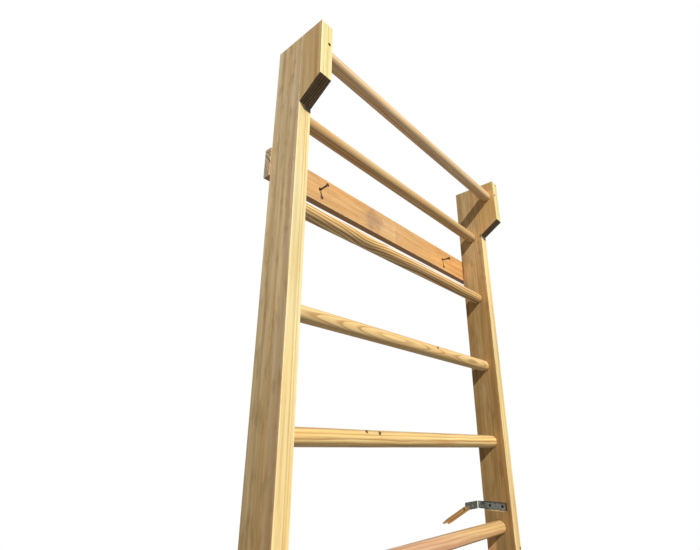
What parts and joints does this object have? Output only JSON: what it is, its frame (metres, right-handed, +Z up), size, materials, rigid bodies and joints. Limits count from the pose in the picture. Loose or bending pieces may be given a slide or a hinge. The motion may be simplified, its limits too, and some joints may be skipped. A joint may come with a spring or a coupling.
{
  "type": "swedish wall bars",
  "caption": "Pine wall bars: tall uprights with evenly spaced round rungs, head blocks that set the top rung forward, boards across the back and steel angle brackets to the wall.",
  "frame": {"origin": "on the floor, in the middle of the width, midway between the front of the head blocks and the plane of the wall", "axes": "+Z up along the uprights, +Y from the front towards the wall, +X to the right seen from the front"},
  "size_m": [0.99, 0.1826, 2.4],
  "materials": {
    "pine_upright": "planed pine, unvarnished, straight grain",
    "pine_head": "planed pine, unvarnished",
    "pine_rung": "turned pine with strong grain, lightly oiled",
    "pine_board": "sawn pine board, warm orange tone",
    "pine_strip": "rough broken lath",
    "dowel_wood": "plain dowel rod",
    "zinc_steel": "zinc-plated strap steel, dulled",
    "dark_screw": "dark wood screws"
  },
  "bodies": {
    "root": {"upright_left": "pine_upright", "upright_right": "pine_upright", "head_block_left": "pine_head", "head_block_right": "pine_head", "head_dowel_left": "dowel_wood", "head_dowel_right": "dowel_wood", "head_screw_left": "dark_screw", "head_screw_right": "dark_screw", "rung_01": "pine_rung", "rung_02": "pine_rung", "rung_03": "pine_rung", "rung_04": "pine_rung", "rung_05": "pine_rung", "rung_06": "pine_rung", "rung_07": "pine_rung", "rung_08": "pine_rung", "rung_09": "pine_rung", "rung_10": "pine_rung", "wall_board_upper": "pine_board", "wall_board_lower": "pine_board", "board_screw_upper_top_left": "dark_screw", "board_screw_upper_bottom_left": "dark_screw", "board_screw_upper_top_right": "dark_screw", "board_screw_upper_bottom_right": "dark_screw", "board_screw_lower_top_left": "dark_screw", "board_screw_lower_bottom_left": "dark_screw", "board_screw_lower_top_right": "dark_screw", "board_screw_lower_bottom_right": "dark_screw", "wall_screw_upper_left": "dark_screw", "wall_screw_upper_right": "dark_screw", "wall_screw_lower_left": "dark_screw", "wall_screw_lower_right": "dark_screw", "angle_bracket_left": "zinc_steel", "angle_bracket_right": "zinc_steel", "bracket_screw_front_left": "dark_screw", "bracket_screw_rear_left": "dark_screw", "bracket_screw_front_right": "dark_screw", "bracket_screw_rear_right": "dark_screw", "broken_strip": "pine_strip", "broken_strip_screw": "dark_screw"}
  },
  "joints": []
}
